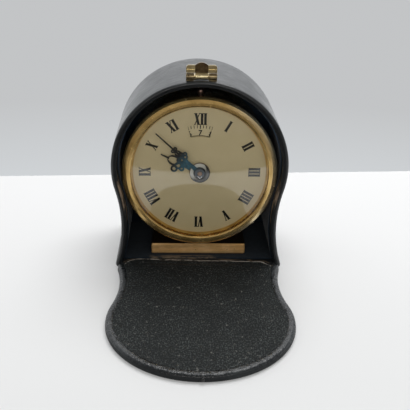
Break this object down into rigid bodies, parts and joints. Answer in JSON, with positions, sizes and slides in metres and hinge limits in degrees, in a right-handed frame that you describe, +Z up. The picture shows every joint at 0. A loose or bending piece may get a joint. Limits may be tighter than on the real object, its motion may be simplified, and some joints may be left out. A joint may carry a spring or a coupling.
{
  "type": "travel alarm clock in leather case",
  "caption": "Round brass alarm clock on a bar foot, standing loose in a velvet-lined black leather horseshoe case whose front flap folds down and is held shut by a brass hasp.",
  "frame": {"origin": "centre of the flat underside of the case, which stands on the table", "axes": "+X to the right seen from the front, +Y from the front to the back of the case, +Z up; the dial faces -Y and the open flap lies towards -Y"},
  "size_m": [0.08, 0.1351, 0.0976],
  "materials": {
    "case_leather": "black grained leather, glossy where worn, brown at rubbed edges",
    "velvet": "near-black blue velvet",
    "flap_suede": "matt dark grey suede lining, speckled",
    "hasp_brass": "worn and tarnished brass",
    "gilt_brass": "gilt brass with brown tarnish spots",
    "glass": "clear domed glass",
    "dial_metal": "satin champagne dial, printed numerals",
    "alarm_disc_metal": "satin champagne disc, printed numerals",
    "blued_steel": "blued steel",
    "plate_brass": "matt brass",
    "steel": "plain steel"
  },
  "bodies": {
    "case": {"case_shell": "case_leather", "case_back": "case_leather", "case_lining": "velvet", "back_lining": "velvet", "hinge_strip": "case_leather", "hasp_base": "hasp_brass", "hasp_pin": "hasp_brass", "hasp_rivets": "hasp_brass"},
    "flap": {"flap_board": "case_leather", "flap_lining": "flap_suede", "keeper_stud": "hasp_brass"},
    "hasp": {"hasp_leaf": "hasp_brass"},
    "clock": {"foot_bar": "gilt_brass", "foot_screws": "steel", "drum_case": "gilt_brass", "bezel": "gilt_brass", "crystal": "glass", "dial_ring": "gilt_brass", "dial": "dial_metal", "back_cover": "gilt_brass", "button_bush": "gilt_brass", "front_plate": "plate_brass", "back_plate": "plate_brass", "plate_pillars": "plate_brass", "plate_screws": "steel"},
    "minute": {"minute_hand": "blued_steel", "centre_arbor": "steel", "hand_nut": "gilt_brass", "setting_knob": "gilt_brass"},
    "hour": {"hour_hand": "blued_steel", "hour_wheel": "plate_brass"},
    "minute_wheel": {"minute_wheel": "plate_brass"},
    "alarm_disc": {"alarm_disc": "alarm_disc_metal"},
    "alarm_setter": {"alarm_setting_arbor": "steel", "alarm_setting_knob": "gilt_brass"},
    "time_winder": {"time_barrel_arbor": "steel", "time_winding_key": "gilt_brass", "time_ratchet": "steel"},
    "alarm_winder": {"alarm_barrel_arbor": "steel", "alarm_winding_key": "gilt_brass", "alarm_ratchet": "steel"},
    "time_barrel": {"time_barrel": "plate_brass"},
    "alarm_barrel": {"alarm_barrel": "plate_brass"},
    "centre_wheel": {"centre_wheel": "plate_brass"},
    "third_wheel": {"third_wheel": "plate_brass"},
    "fourth_wheel": {"fourth_wheel": "plate_brass"},
    "escape_wheel": {"escape_wheel": "plate_brass"},
    "pallet_fork": {"pallet_fork": "steel"},
    "balance": {"balance_wheel": "plate_brass"},
    "strike_wheel": {"strike_wheel": "plate_brass"},
    "hammer": {"alarm_hammer": "steel"},
    "time_click": {"time_click": "steel"},
    "alarm_click": {"alarm_click": "steel"},
    "stop_button": {"stop_button": "gilt_brass"}
  },
  "joints": [
    {"name": "flap_hinge", "type": "hinge", "parent": "case", "child": "flap", "pos_m": [0, -0.0252, 0.0024], "axis": [-1, 0, 0], "range_deg": [0, 90]},
    {"name": "hasp_hinge", "type": "hinge", "parent": "case", "child": "hasp", "pos_m": [0, -0.0215, 0.09149], "axis": [1, 0, 0], "range_deg": [0, 108]},
    {"name": "clock_slide", "type": "slide", "parent": "case", "child": "clock", "axis": [0, 1, 0], "range_m": [-0.055, 0]},
    {"name": "minute_turn", "type": "hinge", "parent": "clock", "child": "minute", "pos_m": [0, -0.0173, 0.0463], "axis": [0, 1, 0], "continuous": true},
    {"name": "hour_turn", "type": "hinge", "parent": "clock", "child": "hour", "pos_m": [0, -0.0173, 0.0463], "axis": [0, 1, 0], "continuous": true},
    {"name": "minute_wheel_turn", "type": "hinge", "parent": "clock", "child": "minute_wheel", "pos_m": [-0.00491, -0.0173, 0.04285], "axis": [0, 1, 0], "continuous": true},
    {"name": "alarm_disc_turn", "type": "hinge", "parent": "clock", "child": "alarm_disc", "pos_m": [0, -0.0173, 0.0463], "axis": [0, 1, 0], "continuous": true},
    {"name": "alarm_setting_turn", "type": "hinge", "parent": "clock", "child": "alarm_setter", "pos_m": [0, -0.0173, 0.0193], "axis": [0, 1, 0], "continuous": true},
    {"name": "time_winding", "type": "hinge", "parent": "clock", "child": "time_winder", "pos_m": [-0.01473, -0.0173, 0.04093], "axis": [0, 1, 0], "continuous": true},
    {"name": "alarm_winding", "type": "hinge", "parent": "clock", "child": "alarm_winder", "pos_m": [0.01691, -0.0173, 0.04014], "axis": [0, 1, 0], "continuous": true},
    {"name": "fourth_turn", "type": "hinge", "parent": "clock", "child": "fourth_wheel", "pos_m": [0.00781, -0.0173, 0.06527], "axis": [0, 1, 0], "continuous": true},
    {"name": "third_turn", "type": "hinge", "parent": "clock", "child": "third_wheel", "pos_m": [0, -0.0173, 0.05872], "axis": [0, 1, 0], "continuous": true},
    {"name": "centre_turn", "type": "hinge", "parent": "clock", "child": "centre_wheel", "pos_m": [0, -0.0173, 0.0463], "axis": [0, 1, 0], "continuous": true},
    {"name": "time_barrel_turn", "type": "hinge", "parent": "clock", "child": "time_barrel", "pos_m": [-0.01473, -0.0173, 0.04093], "axis": [0, 1, 0], "continuous": true},
    {"name": "escape_turn", "type": "hinge", "parent": "clock", "child": "escape_wheel", "pos_m": [0.00038, -0.0173, 0.06956], "axis": [0, 1, 0], "continuous": true},
    {"name": "pallet_swing", "type": "hinge", "parent": "clock", "child": "pallet_fork", "pos_m": [-0.00512, -0.0173, 0.06774], "axis": [0, 1, 0], "range_deg": [-4, 4]},
    {"name": "balance_swing", "type": "hinge", "parent": "clock", "child": "balance", "pos_m": [-0.014, -0.0173, 0.0648], "axis": [0, 1, 0], "range_deg": [-220, 220]},
    {"name": "alarm_barrel_turn", "type": "hinge", "parent": "clock", "child": "alarm_barrel", "pos_m": [0.01691, -0.0173, 0.04014], "axis": [0, 1, 0], "continuous": true},
    {"name": "strike_turn", "type": "hinge", "parent": "clock", "child": "strike_wheel", "pos_m": [0.02237, -0.0173, 0.0496], "axis": [0, 1, 0], "continuous": true},
    {"name": "hammer_swing", "type": "hinge", "parent": "clock", "child": "hammer", "pos_m": [0.0216, -0.0173, 0.0609], "axis": [0, 1, 0], "range_deg": [0, 10]},
    {"name": "time_click_lift", "type": "hinge", "parent": "clock", "child": "time_click", "pos_m": [-0.02286, -0.0173, 0.0454], "axis": [0, -1, 0], "range_deg": [0, 10]},
    {"name": "alarm_click_lift", "type": "hinge", "parent": "clock", "child": "alarm_click", "pos_m": [0.00879, -0.0173, 0.0446], "axis": [0, -1, 0], "range_deg": [0, 10]},
    {"name": "stop_button_press", "type": "slide", "parent": "clock", "child": "stop_button", "axis": [0, 0, -1], "range_m": [0, 0.0012], "stiffness_N_per_m": 400, "springref_m": -0.0005}
  ],
  "couplings": [
    {"joint": "hour_turn", "follows": "minute_turn", "ratio": 0.083333},
    {"joint": "minute_wheel_turn", "follows": "minute_turn", "ratio": -0.33333},
    {"joint": "alarm_setting_turn", "follows": "alarm_disc_turn", "ratio": -8},
    {"joint": "third_turn", "follows": "fourth_turn", "ratio": -0.13333},
    {"joint": "centre_turn", "follows": "fourth_turn", "ratio": 0.016667},
    {"joint": "time_barrel_turn", "follows": "fourth_turn", "ratio": -0.0027778},
    {"joint": "escape_turn", "follows": "fourth_turn", "ratio": -10},
    {"joint": "strike_turn", "follows": "alarm_barrel_turn", "ratio": -6}
  ]
}
